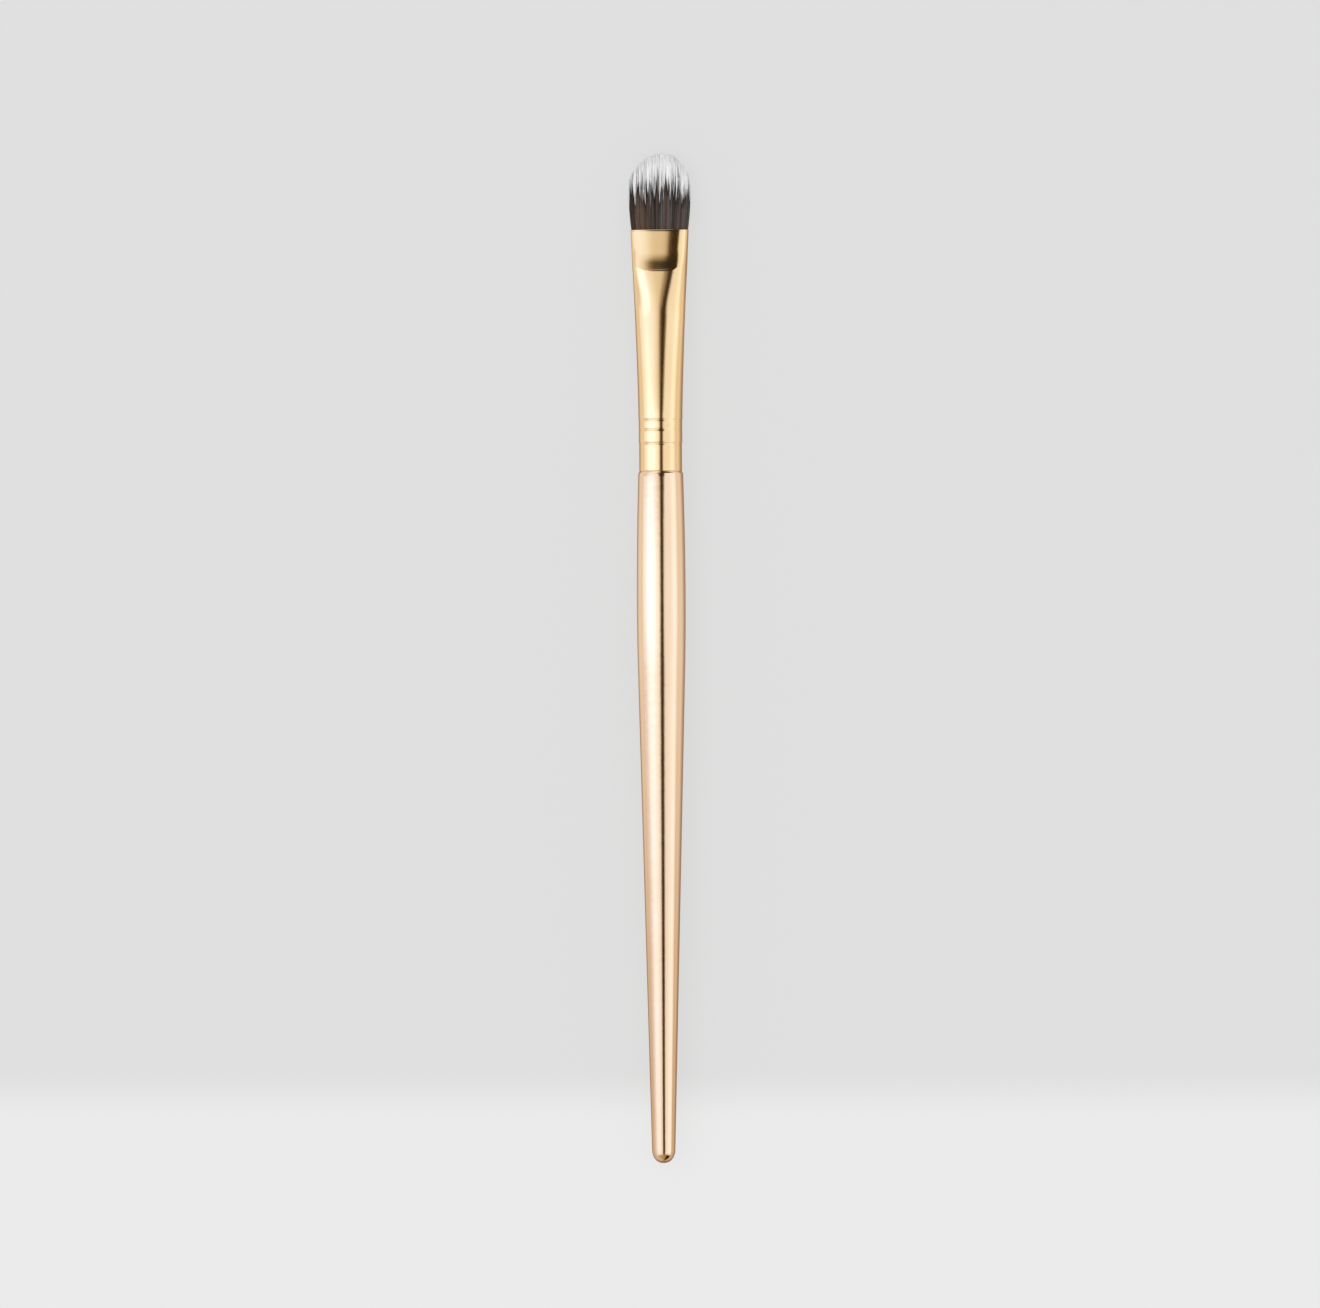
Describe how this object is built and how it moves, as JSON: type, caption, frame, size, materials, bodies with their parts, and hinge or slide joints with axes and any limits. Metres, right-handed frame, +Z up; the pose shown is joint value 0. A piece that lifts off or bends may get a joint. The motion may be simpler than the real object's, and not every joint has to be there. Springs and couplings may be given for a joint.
{
  "type": "flat concealer brush",
  "caption": "A flat concealer brush with a mirror-bright champagne handle, a gold ferrule flared to a flat mouth, and a two-tone filbert tuft.",
  "frame": {"origin": "Middle of the brush's footprint, on the surface it lies on", "axes": "+X across the flat of the head, +Y along the brush towards the bristles, +Z up"},
  "size_m": [0.0104, 0.17, 0.0083],
  "materials": {
    "handle_lacquer": "mirror champagne metallised lacquer on turned wood",
    "gold_plate": "bright gold plate on a drawn brass tube",
    "bristle": "synthetic filaments, dark at the root and white at the tip",
    "resin": "cured epoxy"
  },
  "bodies": {
    "root": {"handle": "handle_lacquer", "ferrule": "gold_plate", "glue_plug": "resin", "bristle_tuft": "bristle"}
  },
  "joints": []
}
